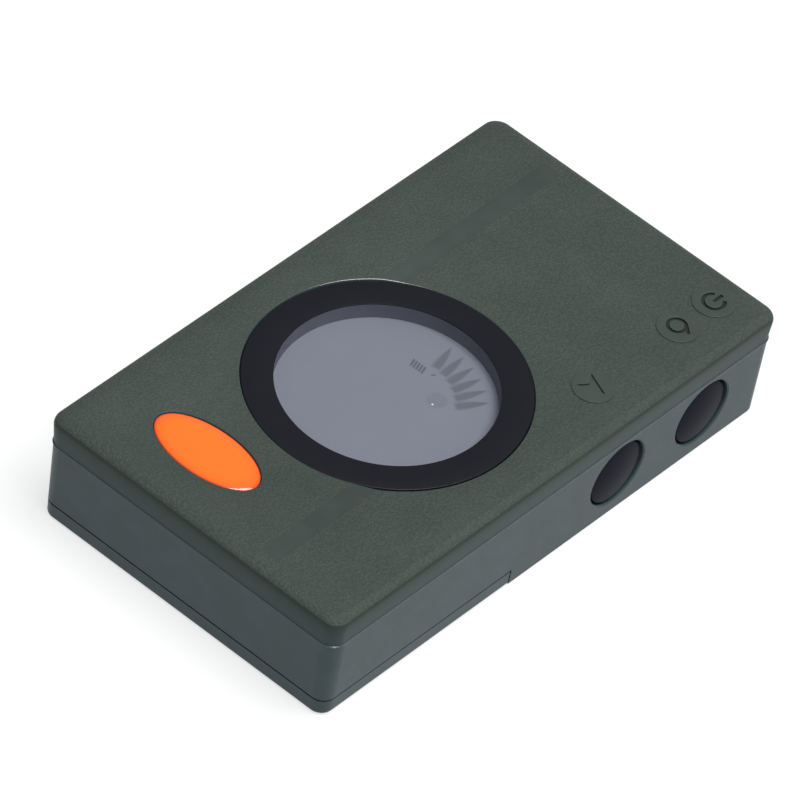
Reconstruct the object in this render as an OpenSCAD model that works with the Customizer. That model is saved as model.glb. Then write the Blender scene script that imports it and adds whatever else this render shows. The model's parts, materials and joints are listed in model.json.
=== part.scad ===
// Handheld electronic sighting compass: a flat two-part case with a round display window, an oval
// badge, two side keys and a slide-off battery door. The long +Y axis is the sighting direction.
// Units are millimetres, +Z is up, and the origin is under the middle of the case, on the surface
// that it rests on.

/* [Case] */
// Width of the case across the keys
case_w = 62.5; // [62:0.1:63]
// Length of the case along the sighting direction
case_l = 108.4; // [108:0.1:109]
// Height of the high part of the top face
case_h = 22; // [21.8:0.1:22.4]
// Height of the parting line between the two case halves
parting_z = 15.95; // [15.9:0.05:16]
// Radius of the upright corners
corner_r = 2.6; // [2:0.1:3.5]
// Thickness of the top plate
top_plate_t = 1.8; // [1.6:0.1:1.9]
// Thickness of the fixed floor at the far half
floor_t = 1.6; // [1.4:0.1:1.8]
// Radius of the rounded rim of the top face
rim_r = 5; // [4.5:0.1:6]
// Distance from the side wall to where the rim starts to curve down
rim_inset = 3.2; // [2.8:0.1:3.4]
// How far the lower case tapers in on each side, from the parting line to the base
lower_draft = 0.5; // [0.3:0.05:0.6]
// How far the upper case stands proud of the lower case at the parting line
overhang = 0.15; // [0.1:0.05:0.2]
// Drop from the high left part of the top face to the low right part
step_drop = 0.3; // [0.2:0.05:0.4]
// Width of the sloped strip between the two levels
ramp_w = 3.5; // [2.5:0.1:4]
// X of the high edge of the sloped strip beyond the window
far_ramp_x = -17.4; // [-20:0.1:-14]
// X of the high edge of the sloped strip on the near side of the window
near_ramp_x = 11.6; // [9:0.1:14]

/* [Window and display] */
// Y of the middle of the window
window_y = -7.7; // [-9:0.1:-7]
// Radius of the window disc
window_r = 23.8; // [23.5:0.1:24]
// Inner radius of the black mask, which is the visible display
sight_r = 18.45; // [18:0.05:19]
// Thickness of the window disc
window_t = 1.3; // [1.2:0.1:1.4]
// Width of the gap around the window disc
window_gap = 0.15; // [0.1:0.05:0.2]

/* [Keys] */
// Y of the bearing key, the one nearer the window
bearing_y = 16.3; // [16:0.1:17]
// Y of the power key
power_y = 37.4; // [37:0.1:38]
// Height of the middle of the keys
key_z = 9; // [8.9:0.1:9.1]
// Radius of the round hole for each key
key_hole_r = 6.4; // [6.3:0.1:6.5]
// Gap between a key and its hole
key_gap = 0.35; // [0.3:0.05:0.4]
// How far each key travels when pressed
key_travel = 0.8; // [0.5:0.1:0.8]

/* [Battery] */
// Y of the far end of the battery door
door_end_y = -8.5; // [-9:0.1:-8]
// Width of the gap around the battery door
door_gap = 0.3; // [0.2:0.05:0.35]
// Thickness of the battery door
door_t = 1.5; // [1.3:0.1:1.6]
// Height of the line where the door's raised edge meets the lower case
door_line_z = 3.4; // [3.3:0.05:3.5]
// Diameter of each battery cell
cell_d = 10.4; // [10.2:0.1:10.5]
// Length of each battery cell with its button
cell_l = 44.5; // [43.5:0.1:44.5]
// Distance between the axes of the two cells
cell_pitch = 11.6; // [11:0.1:11.6]

/* [Badge and marks] */
// Half length of the oval badge
badge_a = 10.55; // [10:0.05:11]
// Half width of the oval badge
badge_b = 5.3; // [5:0.05:5.5]
// X of the middle of the badge
badge_x = -8.8; // [-9.5:0.1:-8]
// Y of the middle of the badge
badge_y = -41.05; // [-41.5:0.05:-40.5]
// Radius of the raised disc behind each mark
mark_r = 3.7; // [3.4:0.1:3.9]
// X of the row of marks
mark_x = 22.45; // [22:0.05:23]

/* [Hidden] */
$fn = 96;
tiny = 0.01;
low_z = case_h - step_drop;
plate_z = case_h - top_plate_t;
lower_w = case_w - 2 * overhang;
lower_l = case_l - 2 * overhang;
inner_w = 58.4;
inner_l = 104.4;
inner_r = 1.2;
skirt_w = 58.9;
skirt_l = 104.8;
near_y = -inner_l / 2;
door_edge_r = 0.8;
lower_corner_r = corner_r + 0.3;
gasket_t = 0.5;
shelf_l = 2;
floor_gap = 0.4;

window_z = case_h - 0.2;
mask_t = 0.3;
ledge_z = window_z - mask_t - window_t;
ledge_t = 1.2;
ledge_r = 21.3;

badge_depth = 1.2;
badge_side = 0.95;
badge_dome = 0.45;
badge_gap = 0.12;

board_t = 1.2;
board_z = 13.9;
board_top = board_z + board_t;
board_w = 54;
board_near_y = -39.6;
board_far_y = 44.5;
guide_z = board_top + 0.4;
guide_t = 1.2;
film_t = 0.2;
glass_t = 0.8;
reflector_z = guide_z + guide_t;
rear_glass_z = reflector_z + film_t;
front_glass_z = rear_glass_z + glass_t;
polarizer_z = front_glass_z + glass_t;
gasket_z = polarizer_z + film_t;
display_w = 45;
display_l = 50;
contact_ledge = 2.4;

board_posts = [[-24, -36.6], [24, -36.6], [-24, 41], [24, 41]];
case_posts = [[-24.8, -47.2], [24.8, -47.2], [-24.8, 48.6], [24.8, 48.6]];
post_meet_z = 8;
post_r = 3;
screw_r = 1.25;
screw_head_r = 2.3;
screw_head_h = 1.8;
screw_l = 11;
pilot_r = 1.05;
far_seat_z = 3;
near_seat_z = 4.6;
board_screw_r = 1;
board_screw_l = 4.5;

key_face_x = 31;
key_r = key_hole_r - key_gap;
key_dome_r = 32;
flange_r = 7.1;
flange_t = 1;
flange_x = 27.9;
seal_r = 7;
seal_t = 0.25;
stem_r = 1.8;
stem_x = 26.6;
plunger_x = 24.6;
plunger_r = 1.6;
switch_size = 6;
switch_x = 21.6;
switch_depth = 3.5;
key_board_t = 1.2;
key_board_x = switch_x - key_board_t;
key_ys = [bearing_y, power_y];
draft_angle = atan(lower_draft / parting_z);
key_wall_x = lower_w / 2 - lower_draft * (1 - key_z / parting_z);
key_bevel = 0.25;

bay_w = 22.8;
bay_wall = 1.2;
bay_far_y = -2.4;
bay_top = 12.9;
bay_lid_t = 0.8;
bay_sill_z = 2.15;
cell_z = 7.45;
cell_x = cell_pitch / 2;
plate_t = 0.4;
spring_l = 4.5;
spring_wire_r = 0.3;
spring_turns = 4;
left_cell_y = near_y + plate_t;
right_cell_y = bay_far_y - plate_t - cell_l;

case_green = [0.27, 0.31, 0.28];
mark_rise = 0.3;
mark_ys = [17.3, 38.4, 47.3];

// ---- shared shapes ----

// Rectangle with true round corners, centred.
module round_rect(w, l, r) {
  square([w - 2 * r, l], center = true);
  square([w, l - 2 * r], center = true);
  for (x = [-1, 1], y = [-1, 1])
    translate([x * (w / 2 - r), y * (l / 2 - r)]) circle(r);
}

module round_block(w, l, r, h) {
  linear_extrude(h) round_rect(w, l, r);
}

// Box from two opposite corners.
module span_box(a, b) {
  translate(a) cube(b - a);
}

// Cylinder whose axis points along +X, starting at p.
module rod_x(p, r, h) {
  translate(p) rotate([0, 90, 0]) cylinder(r = r, h = h);
}

// Cylinder whose axis points along +Y, starting at p.
module rod_y(p, r, h) {
  translate(p) rotate([-90, 0, 0]) cylinder(r = r, h = h);
}

module oval(a, b) {
  polygon([for (t = [0:5:355]) [a * cos(t), b * sin(t)]]);
}

// Cross-section of the upper case, w wide: flat in the middle, arcs down to a crisp edge.
module rim_profile(w) {
  flat = w / 2 - rim_inset;
  intersection() {
    translate([-w / 2, parting_z]) square([w, case_h - parting_z]);
    union() {
      translate([-flat, 0]) square([2 * flat, case_h]);
      translate([-w / 2, 0]) square([w, case_h - rim_r]);
      for (s = [-1, 1]) translate([s * flat, case_h - rim_r]) circle(rim_r);
    }
  }
}

// Cross-section of the lower case, w wide at the parting line, with edges of radius r at the base.
module draft_profile(w, r) {
  base = w / 2 - lower_draft;
  polygon([[-base, r], [base, r], [w / 2, parting_z], [-w / 2, parting_z]]);
  translate([-base + r, 0]) square([2 * (base - r), r + tiny]);
  for (s = [-1, 1]) translate([s * (base - r), r]) circle(r);
}

module across_y(l) {
  rotate([90, 0, 0]) linear_extrude(l, center = true) children();
}

module across_x(l) {
  rotate([90, 0, 90]) linear_extrude(l, center = true) children();
}

// Lower case as a solid block: two crossed prisms with a turned piece at each corner.
module lower_form(r) {
  corner_x = lower_w / 2 - lower_corner_r;
  corner_y = lower_l / 2 - lower_corner_r;
  across_y(2 * corner_y) draft_profile(lower_w, r);
  across_x(2 * corner_x) draft_profile(lower_l, r);
  for (x = [-1, 1], y = [-1, 1])
    translate([x * corner_x, y * corner_y, 0]) rotate_extrude() intersection() {
      translate([-corner_x, 0]) draft_profile(lower_w, r);
      square([lower_corner_r + 1, case_h]);
    }
}

// ---- upper case ----

module upper_form() {
  intersection() {
    translate([0, 0, parting_z]) round_block(case_w, case_l, corner_r, case_h - parting_z);
    across_y(case_l) rim_profile(case_w);
    across_x(case_w) rim_profile(case_l);
  }
}

// Everything above the low level on one side of the window, with its sloped edge.
module step_cut(ramp_x, length) {
  rotate([90, 0, 0]) linear_extrude(length)
    polygon([[ramp_x, case_h], [ramp_x + ramp_w, low_z], [case_w, low_z],
      [case_w, case_h + 1], [ramp_x, case_h + 1]]);
}

module power_glyph() {
  difference() {
    circle(2.1);
    circle(1.5);
    polygon([[0, 0], [3, 4], [-3, 4]]);
  }
  translate([-0.3, 0.2]) square([0.6, 2]);
}

module swirl_glyph() {
  translate([-0.35, 0]) {
    difference() {
      circle(1.85);
      circle(1.25);
    }
    rotate(50) translate([1.26, -2.1]) square([0.57, 2.2]);
  }
}

module arrow_glyph() {
  polygon([[2.33, 0.08], [-2.22, 1.97], [-0.92, 0], [-2.22, -1.86]]);
}

// Raised disc with a sunk glyph.
module mark(y) {
  translate([mark_x, y, low_z - tiny]) difference() {
    cylinder(r = mark_r, h = mark_rise + tiny);
    translate([0, 0, tiny]) linear_extrude(1) children();
  }
}

module top_shell() {
  color(case_green) {
    difference() {
      upper_form();
      translate([0, case_l / 2 + 1, 0]) step_cut(far_ramp_x, case_l / 2 + 1 - window_y);
      translate([0, window_y + tiny, 0]) step_cut(near_ramp_x, case_l);
      translate([0, 0, parting_z - tiny]) round_block(skirt_w, skirt_l, inner_r, plate_z - parting_z);
      translate([0, window_y, ledge_z]) cylinder(r = window_r + window_gap, h = 5);
      translate([0, window_y, ledge_z - 3]) cylinder(r = ledge_r, h = 5);
      translate([badge_x, badge_y, case_h - badge_depth])
        linear_extrude(2) oval(badge_a + badge_gap, badge_b + badge_gap);
    }
    translate([0, window_y, ledge_z - ledge_t]) difference() {
      cylinder(r = window_r + 1.2, h = ledge_t + tiny);
      translate([0, 0, -1]) cylinder(r = ledge_r, h = ledge_t + 2);
      translate([0, 0, ledge_t]) cylinder(r = window_r + window_gap, h = 1);
    }
    for (p = board_posts) translate([p[0], p[1], board_top]) difference() {
      cylinder(r = 2.2, h = plate_z - board_top + tiny);
      translate([0, 0, -1]) cylinder(r = board_screw_r - 0.2, h = board_screw_l + 1);
    }
    for (p = case_posts) translate([p[0], p[1], post_meet_z]) difference() {
      cylinder(r = post_r, h = plate_z - post_meet_z + tiny);
      translate([0, 0, -1]) cylinder(r = pilot_r, h = screw_l - 2);
    }
    mark(mark_ys[0]) arrow_glyph();
    mark(mark_ys[1]) swirl_glyph();
    mark(mark_ys[2]) power_glyph();
  }
}

// ---- lower case ----

module gasket_loop(h) {
  translate([0, 0, parting_z - gasket_t]) linear_extrude(h) difference() {
    round_rect(inner_w + 2.2, inner_l + 2.2, inner_r + 1.1);
    round_rect(inner_w + 0.8, inner_l + 0.8, inner_r + 0.4);
  }
}

// Wall, floor and inner plate with nothing cut out for the battery, keys or screws.
module lower_tray() {
  difference() {
    lower_form(0.3);
    translate([0, 0, floor_t]) round_block(inner_w, inner_l, inner_r, parting_z);
    span_box([-case_w, -case_l, -1], [case_w, door_end_y, door_line_z]);
  }
  intersection() {
    translate([0, 0, door_line_z]) round_block(inner_w + 1, inner_l + 1, inner_r + 0.5, 0.8);
    span_box([-case_w, -case_l, 0], [case_w, door_end_y + 1, case_h]);
  }
  span_box([-28.6, near_y + floor_gap, bay_sill_z], [28.6, door_end_y + 1, door_line_z + tiny]);
  span_box([-29, door_end_y, 0.3], [29, door_end_y + 1.2, door_line_z + 0.8]);
}

// Outside of the battery bay's walls and lid.
module bay_walls() {
  wall_x = bay_w / 2 + bay_wall;
  lid_z = bay_top + bay_lid_t;
  span_box([-wall_x, near_y + floor_gap, bay_sill_z], [wall_x, bay_far_y + bay_wall, lid_z]);
  span_box([-wall_x, near_y - tiny, door_line_z], [wall_x, near_y + 1, lid_z]);
}

// Inside of the battery bay, open below except over the fixed floor and the shelf.
module bay_space() {
  span_box([-bay_w / 2, near_y, bay_sill_z], [bay_w / 2, bay_far_y, bay_top]);
  span_box([-bay_w / 2, near_y + floor_gap, 0], [bay_w / 2, door_end_y - shelf_l, bay_top]);
}

// Upright ribs that hold the key board by its two ends.
module key_board_ribs() {
  for (y = [5.2, 47.2]) difference() {
    span_box([key_board_x - 1.2, y - 1.2, floor_t - tiny], [switch_x + 1.2, y + 1.2, post_meet_z]);
    span_box([key_board_x - 0.05, 5.8, floor_t], [switch_x + 0.05, 46.6, 14]);
  }
}

module bottom_shell() {
  color(case_green) difference() {
    union() {
      lower_tray();
      bay_walls();
      span_box([-bay_w / 2 - bay_wall, door_end_y, 0.3],
        [bay_w / 2 + bay_wall, bay_far_y + bay_wall, bay_sill_z + tiny]);
      span_box([-28.6, door_end_y - shelf_l, door_t + 0.15], [28.6, door_end_y + tiny, bay_sill_z + tiny]);
      key_board_ribs();
      for (p = case_posts) {
        seat_floor = p[1] < 0 ? bay_sill_z : 0.3;
        translate([p[0], p[1], seat_floor]) cylinder(r = post_r, h = post_meet_z - seat_floor);
      }
    }
    bay_space();
    for (y = key_ys) {
      rod_x([inner_w / 2 - 2, y, key_z], key_hole_r, 10);
      translate([key_wall_x - key_bevel, y, key_z]) rotate([0, 90 + draft_angle, 0])
        cylinder(r1 = key_hole_r - 0.02, r2 = key_hole_r + 1.2, h = 1.2);
    }
    for (p = case_posts) {
      seat_z = p[1] < 0 ? near_seat_z : far_seat_z;
      translate([p[0], p[1], -1]) cylinder(r = screw_r + 0.2, h = 20);
      translate([p[0], p[1], -1]) cylinder(r = screw_head_r + 0.3, h = 1 + seat_z);
    }
    gasket_loop(2);
    for (s = [-1, 1]) translate([s * 28.3, 0, 0])
      span_box([-0.5, near_y - 2, 2.35], [0.5, door_end_y - 2, 3.2]);
    for (s = [-1, 1]) translate([s * cell_x, 0, 0])
      span_box([-1.3, bay_far_y - plate_t, bay_top - 1], [1.3, bay_far_y, bay_top + 2]);
  }
}

module battery_door() {
  color(case_green) {
    difference() {
      lower_form(door_edge_r);
      span_box([-case_w, -case_l, door_line_z - door_gap], [case_w, case_l, case_h]);
      span_box([-case_w, door_end_y - door_gap, -1], [case_w, case_l, case_h]);
      translate([0, case_l / 2, door_t]) round_block(58, case_l + inner_l - 0.2, inner_r, case_h);
    }
    for (s = [-1, 1]) translate([s * 28.7, 0, 0])
      span_box([-0.35, near_y + 3, 2.5], [0.35, door_end_y - 4, 3.05]);
    for (y = [-48:2:-42])
      span_box([-9, y, door_t - tiny], [9, y + 0.8, door_t + 0.3]);
  }
}

module door_pad() {
  color("dimgray") span_box([-10.5, -38, door_t], [10.5, -14, door_t + 0.4]);
}

module case_gasket() {
  color("black") gasket_loop(gasket_t);
}

// ---- window ----

module window_lens() {
  color([0.75, 0.8, 0.85, 0.35]) translate([0, window_y, ledge_z])
    cylinder(r = window_r, h = window_t);
}

// Thin black ring on top of the window disc.
module window_mask() {
  color([0.1, 0.1, 0.12]) translate([0, window_y, window_z - mask_t]) difference() {
    cylinder(r = window_r, h = mask_t);
    translate([0, 0, -1]) cylinder(r = sight_r, h = 3);
  }
}

// Soft grey ring between the display and the window disc, just wider than the visible display.
module display_gasket() {
  color([0.3, 0.31, 0.36]) translate([0, window_y, gasket_z]) difference() {
    cylinder(r = ledge_r - 0.2, h = ledge_z - gasket_z);
    translate([0, 0, -1]) cylinder(r = sight_r + 0.05, h = 4);
  }
}

// Oval plug with a shallow domed face.
module badge() {
  color([1, 0.45, 0.12]) translate([badge_x, badge_y, case_h - badge_depth]) hull()
    for (t = [0:0.2:1]) let (inset = 2.5 * (1 - cos(90 * t)), rise = badge_dome * sin(90 * t))
      linear_extrude(badge_side + rise) oval(badge_a - inset, badge_b - inset);
}

// ---- display stack ----

// Rectangular layer of the display, trimmed by trim at both Y ends.
module display_layer(z, t, trim) {
  translate([-display_w / 2, window_y - display_l / 2 + trim, z])
    cube([display_w, display_l - 2 * trim, t]);
}

module display_polarizer() {
  color([0.6, 0.62, 0.66]) display_layer(polarizer_z, film_t, contact_ledge + 0.4);
}

module display_front_glass() {
  color([0.62, 0.66, 0.7]) display_layer(front_glass_z, glass_t, contact_ledge);
}

module display_rear_glass() {
  color([0.58, 0.62, 0.66]) display_layer(rear_glass_z, glass_t, 0);
}

module display_reflector() {
  color("silver") display_layer(reflector_z, film_t, contact_ledge);
}

module light_guide() {
  color([0.9, 0.95, 0.95]) translate([-display_w / 2 + 2, window_y - display_l / 2 + contact_ledge, guide_z])
    cube([display_w - 4, display_l - 2 * contact_ledge, guide_t]);
}

module backlight_leds() {
  color([1, 0.95, 0.7]) for (s = [-1, 1], y = [-10, 10])
    translate([s * (display_w / 2 - 1) - 0.8, window_y + y - 1.5, board_top]) cube([1.6, 3, 1.4]);
}

module display_frame() {
  wall = 1.4;
  color([0.12, 0.12, 0.13]) translate([0, window_y, board_top]) difference() {
    translate([0, 0, (gasket_z - board_top) / 2])
      cube([display_w + 2 * wall, display_l + 2 * wall, gasket_z - board_top], center = true);
    translate([0, 0, 5]) cube([display_w + 0.1, display_l + 0.1, 20], center = true);
  }
}

// Conductive rubber strips from the board up to the contacts of the rear glass.
module elastomer_strips() {
  color([0.85, 0.45, 0.5]) for (s = [-1, 1])
    translate([-20, window_y + s * (display_l / 2 - 1.1) - 0.9, board_top])
      cube([40, 1.8, rear_glass_z - board_top]);
}

// ---- main board ----

module main_board() {
  color("darkgreen") translate([0, 0, board_z]) difference() {
    translate([-board_w / 2, board_near_y, 0]) cube([board_w, board_far_y - board_near_y, board_t]);
    for (p = board_posts) translate([p[0], p[1], -1]) cylinder(r = board_screw_r + 0.1, h = 4);
    span_box([-30, 42.9, -1], [-21.6, 60, 4]);
    span_box([21.6, 42.9, -1], [30, 60, 4]);
  }
}

module controller_chip() {
  size = 12;
  pin_pitch = 1;
  translate([0, 22, board_z]) {
    color([0.1, 0.1, 0.1]) translate([-size / 2, -size / 2, -1.6]) cube([size, size, 1.4]);
    color("silver") for (turn = [0:90:270], i = [-5:5]) rotate(turn) {
      translate([size / 2 - 0.3, i * pin_pitch - 0.15, -1]) cube([0.8, 0.3, 0.2]);
      translate([size / 2 + 0.3, i * pin_pitch - 0.15, -1]) cube([0.2, 0.3, 1]);
    }
  }
}

module clock_crystal() {
  color("silver") rod_y([-11, 14, board_z - 1.05], 1, 6);
}

// Coil formers of the two magnetic sensors, one along X and one along Y.
module sensor_bobbin() {
  rod_x([-6, 0, 0], 1, 12);
  for (x = [-6, 5]) rod_x([x, 0, 0], 2, 1);
  span_box([-6, -2, 0], [-5, 2, 2.2]);
  span_box([5, -2, 0], [6, 2, 2.2]);
}

module sensor_winding() {
  difference() {
    rod_x([-4.95, 0, 0], 1.8, 9.9);
    rod_x([-6, 0, 0], 1.05, 12);
  }
}

module place_sensors() {
  translate([2, 38, board_z - 2.2]) children();
  translate([-16, 34, board_z - 2.2]) rotate(90) children();
}

module sensor_bobbins() {
  color("ivory") place_sensors() sensor_bobbin();
}

module sensor_windings() {
  color([0.72, 0.4, 0.2]) place_sensors() sensor_winding();
}

module capacitors() {
  color("tan") for (p = [[-10, 26], [-12, 21], [10, 14], [12, 30], [13, 24]])
    translate([p[0], p[1], board_z - 1.1]) cube([2, 1.25, 1.1]);
  color("dimgray") translate([-19, 8, board_z - 5]) cylinder(r = 2.5, h = 5);
}

module resistors() {
  color([0.2, 0.2, 0.22]) for (i = [0:5])
    translate([-6 + 2.6 * i, 8, board_z - 0.5]) cube([1, 2, 0.5]);
}

// ---- keys ----

module key_board() {
  color("darkgreen") span_box([key_board_x, 6, 2], [switch_x, 46.4, board_z - 0.4]);
}

// Angle header that joins the upright key board to the underside of the main board.
module board_header() {
  y0 = 22;
  color([0.1, 0.1, 0.1]) span_box([key_board_x - 2.5, y0, board_z - 2.6], [key_board_x, y0 + 10, board_z]);
  color("gold") for (i = [0:3]) {
    span_box([key_board_x - 3.1, y0 + 1 + 2.5 * i, board_z - 2], [key_board_x - 2.5, y0 + 1.5 + 2.5 * i, board_z]);
  }
}

module switch_housings() {
  color([0.15, 0.15, 0.16]) for (y = key_ys) difference() {
    translate([switch_x, y - switch_size / 2, key_z - switch_size / 2])
      cube([switch_depth, switch_size, switch_size]);
    rod_x([plunger_x - key_travel - 0.4, y, key_z], plunger_r + 0.3, 10);
  }
}

// Plunger of a push switch, from inside the housing to the stem of its key.
module plunger(y) {
  color("ivory") rod_x([plunger_x, y, key_z], plunger_r, stem_x - plunger_x);
}

module bearing_plunger() {
  plunger(bearing_y);
}

module power_plunger() {
  plunger(power_y);
}

// Half section of a key, from its stem up to its domed face.
module key_profile() {
  flange = flange_x - stem_x;
  face = key_face_x - stem_x;
  square([stem_r, flange + tiny]);
  translate([0, flange]) square([flange_r, flange_t]);
  translate([0, flange]) intersection() {
    square([key_r, 10]);
    translate([0, face - flange - key_dome_r]) circle(key_dome_r, $fn = 720);
  }
}

// Round key: domed face, body in the case hole, flange behind the wall, and stem.
module key_cap(y) {
  color([0.18, 0.17, 0.2])
    translate([stem_x, y, key_z]) rotate([0, 90, 0]) rotate_extrude() key_profile();
}

module bearing_key() {
  key_cap(bearing_y);
}

module power_key() {
  key_cap(power_y);
}

// Rubber ring between the flange and the inside of the wall.
module key_seal(y) {
  color("black") difference() {
    rod_x([flange_x + flange_t, y, key_z], seal_r, seal_t);
    rod_x([flange_x, y, key_z], key_r, 5);
  }
}

module bearing_seal() {
  key_seal(bearing_y);
}

module power_seal() {
  key_seal(power_y);
}

// ---- battery ----

// Cell whose button is at y = 0 and whose body runs along +Y.
module cell() {
  button_l = 0.9;
  rod_y([0, 0, 0], 1.8, button_l + tiny);
  rod_y([0, button_l, 0], cell_d / 2, cell_l - button_l);
}

module left_cell() {
  color([0.14, 0.15, 0.17]) translate([-cell_x, left_cell_y, cell_z]) cell();
}

module right_cell() {
  color([0.14, 0.15, 0.17]) translate([cell_x, bay_far_y - plate_t, cell_z]) rotate(180) cell();
}

// Point on the centre line of a conical spring, t from 0 at the wide end to 1.
function spring_point(t) = let (r = 3.6 - 1.6 * t, a = 360 * spring_turns * t)
  [r * cos(a), spring_wire_r + (spring_l - 2 * spring_wire_r) * t, r * sin(a)];

// Conical spring along +Y, wide end at y = 0.
module cone_spring() {
  rings = 72;
  sides = 8;
  points = [for (i = [0:rings], k = [0:sides - 1])
    let (t = i / rings, c = spring_point(t), a = 360 * spring_turns * t, b = 360 * k / sides)
    c + spring_wire_r * [cos(b) * cos(a), sin(b), cos(b) * sin(a)]];
  walls = [for (i = [0:rings - 1], k = [0:sides - 1]) let (n = (k + 1) % sides)
    [i * sides + k, (i + 1) * sides + k, (i + 1) * sides + n, i * sides + n]];
  ends = [[for (k = [0:sides - 1]) k], [for (k = [sides - 1:-1:0]) rings * sides + k]];
  polyhedron(points, concat(walls, ends));
}

module left_spring() {
  color("silver") translate([-cell_x, bay_far_y - plate_t, cell_z]) rotate(180) cone_spring();
}

module right_spring() {
  color("silver") translate([cell_x, near_y + plate_t, cell_z]) cone_spring();
}

module bridge_contact() {
  color("silver") span_box([-10.5, near_y, 4], [10.5, near_y + plate_t, 11.4]);
}

// Far contact with a solder tab that passes through the bay's lid to the main board.
module tab_contact(x) {
  color("silver") {
    span_box([x - 4, bay_far_y - plate_t, 3.4], [x + 4, bay_far_y, 11.4]);
    span_box([x - 1.2, bay_far_y - plate_t, 11.3], [x + 1.2, bay_far_y, board_z]);
  }
}

module negative_contact() {
  tab_contact(-cell_x);
}

module positive_contact() {
  tab_contact(cell_x);
}

// ---- fasteners ----

// Pan-head screw pointing up, head below z = 0, with a cross recess.
module screw(r, l, head_r, head_h) {
  translate([0, 0, -tiny]) cylinder(r = r, h = l + tiny);
  difference() {
    translate([0, 0, -head_h]) cylinder(r = head_r, h = head_h);
    for (turn = [0, 90]) rotate(turn)
      translate([-head_r * 0.6, -0.35, -head_h - 1]) cube([head_r * 1.2, 0.7, 1.8]);
  }
}

module case_screws() {
  color([0.2, 0.2, 0.2]) for (p = case_posts)
    translate([p[0], p[1], p[1] < 0 ? near_seat_z : far_seat_z])
      screw(pilot_r, screw_l, screw_head_r, screw_head_h);
}

module board_screws() {
  color("silver") for (p = board_posts) translate([p[0], p[1], board_z])
    screw(board_screw_r - 0.2, board_screw_l + board_t - 0.4, 1.9, 1.3);
}

top_shell();
bottom_shell();
battery_door();
door_pad();
window_lens();
window_mask();
display_gasket();
display_polarizer();
display_front_glass();
display_rear_glass();
display_reflector();
light_guide();
backlight_leds();
display_frame();
elastomer_strips();
main_board();
controller_chip();
clock_crystal();
sensor_bobbins();
sensor_windings();
capacitors();
resistors();
key_board();
board_header();
switch_housings();
bearing_plunger();
power_plunger();
bearing_key();
power_key();
bearing_seal();
power_seal();
badge();
case_gasket();
left_cell();
right_cell();
left_spring();
right_spring();
bridge_contact();
negative_contact();
positive_contact();
case_screws();
board_screws();
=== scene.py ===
"""Looks of the handheld electronic sighting compass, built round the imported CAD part."""

import json
import math

import bmesh
import bpy
from mathutils import Matrix, Vector
from mathutils.geometry import delaunay_2d_cdt


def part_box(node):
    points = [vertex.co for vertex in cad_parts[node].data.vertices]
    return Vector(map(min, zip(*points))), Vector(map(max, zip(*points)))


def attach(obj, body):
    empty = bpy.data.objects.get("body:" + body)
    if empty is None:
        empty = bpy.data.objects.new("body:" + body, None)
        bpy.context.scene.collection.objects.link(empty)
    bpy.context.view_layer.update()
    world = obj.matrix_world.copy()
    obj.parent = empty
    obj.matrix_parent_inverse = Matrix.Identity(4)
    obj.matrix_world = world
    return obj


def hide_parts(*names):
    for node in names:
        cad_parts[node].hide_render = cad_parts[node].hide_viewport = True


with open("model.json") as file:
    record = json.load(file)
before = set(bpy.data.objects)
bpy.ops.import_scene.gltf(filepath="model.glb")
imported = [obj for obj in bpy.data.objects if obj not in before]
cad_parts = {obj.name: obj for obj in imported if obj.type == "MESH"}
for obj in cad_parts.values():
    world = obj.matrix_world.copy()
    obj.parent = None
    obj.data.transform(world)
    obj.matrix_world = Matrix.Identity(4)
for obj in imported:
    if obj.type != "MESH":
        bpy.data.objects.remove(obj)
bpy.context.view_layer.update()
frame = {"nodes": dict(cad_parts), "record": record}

MM = 0.001


def mm_box(node):
    """Lowest and highest corner of a CAD node, in millimetres."""
    low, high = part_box(node)
    return low / MM, high / MM


shell_high = mm_box("top_shell")[1]
lens_low, lens_high = mm_box("window_lens")
mask_high = mm_box("window_mask")[1]
film_high = mm_box("display_polarizer")[1]
badge_low, badge_high = mm_box("badge")

# All lengths are in millimetres.
PART_Z = mm_box("case_gasket")[1].z
HALF_W = shell_high.x
HALF_L = shell_high.y
WINDOW_SINK = 0.2
STEP_DOWN = 0.3
TOP_Z = mask_high.z + WINDOW_SINK
LOW_Z = TOP_Z - STEP_DOWN
WINDOW_Y = (lens_low.y + lens_high.y) / 2
WINDOW_R = lens_high.x
HOLE_R = WINDOW_R + 0.15
SIGHT_R = 18.45
LEDGE_Z = lens_low.z
LEDGE_R = 21.3
BADGE = (badge_low + badge_high) / 2
BADGE_A = (badge_high.x - badge_low.x) / 2
BADGE_B = (badge_high.y - badge_low.y) / 2
MARK_X = 22.45
MARK_YS = (17.3, 38.4, 47.3)
MARK_R = 3.7
POCKET_R = MARK_R - 0.2
MARK_RISE = 0.2
GLYPH_SINK = 0.2

RIM_R = 5.0
RIM_INSET = 3.2
CORNER_R = 2.6
FAR_RAMP = -17.4
NEAR_RAMP = 11.6
RAMP_W = 3.5


# ---- materials ----


SHADER_INPUTS = {
    "color": "Base Color", "rough": "Roughness", "metal": "Metallic", "normal": "Normal",
    "coat": "Coat Weight", "coat_rough": "Coat Roughness", "spec": "Specular IOR Level",
    "ior": "IOR", "alpha": "Alpha"}


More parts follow.
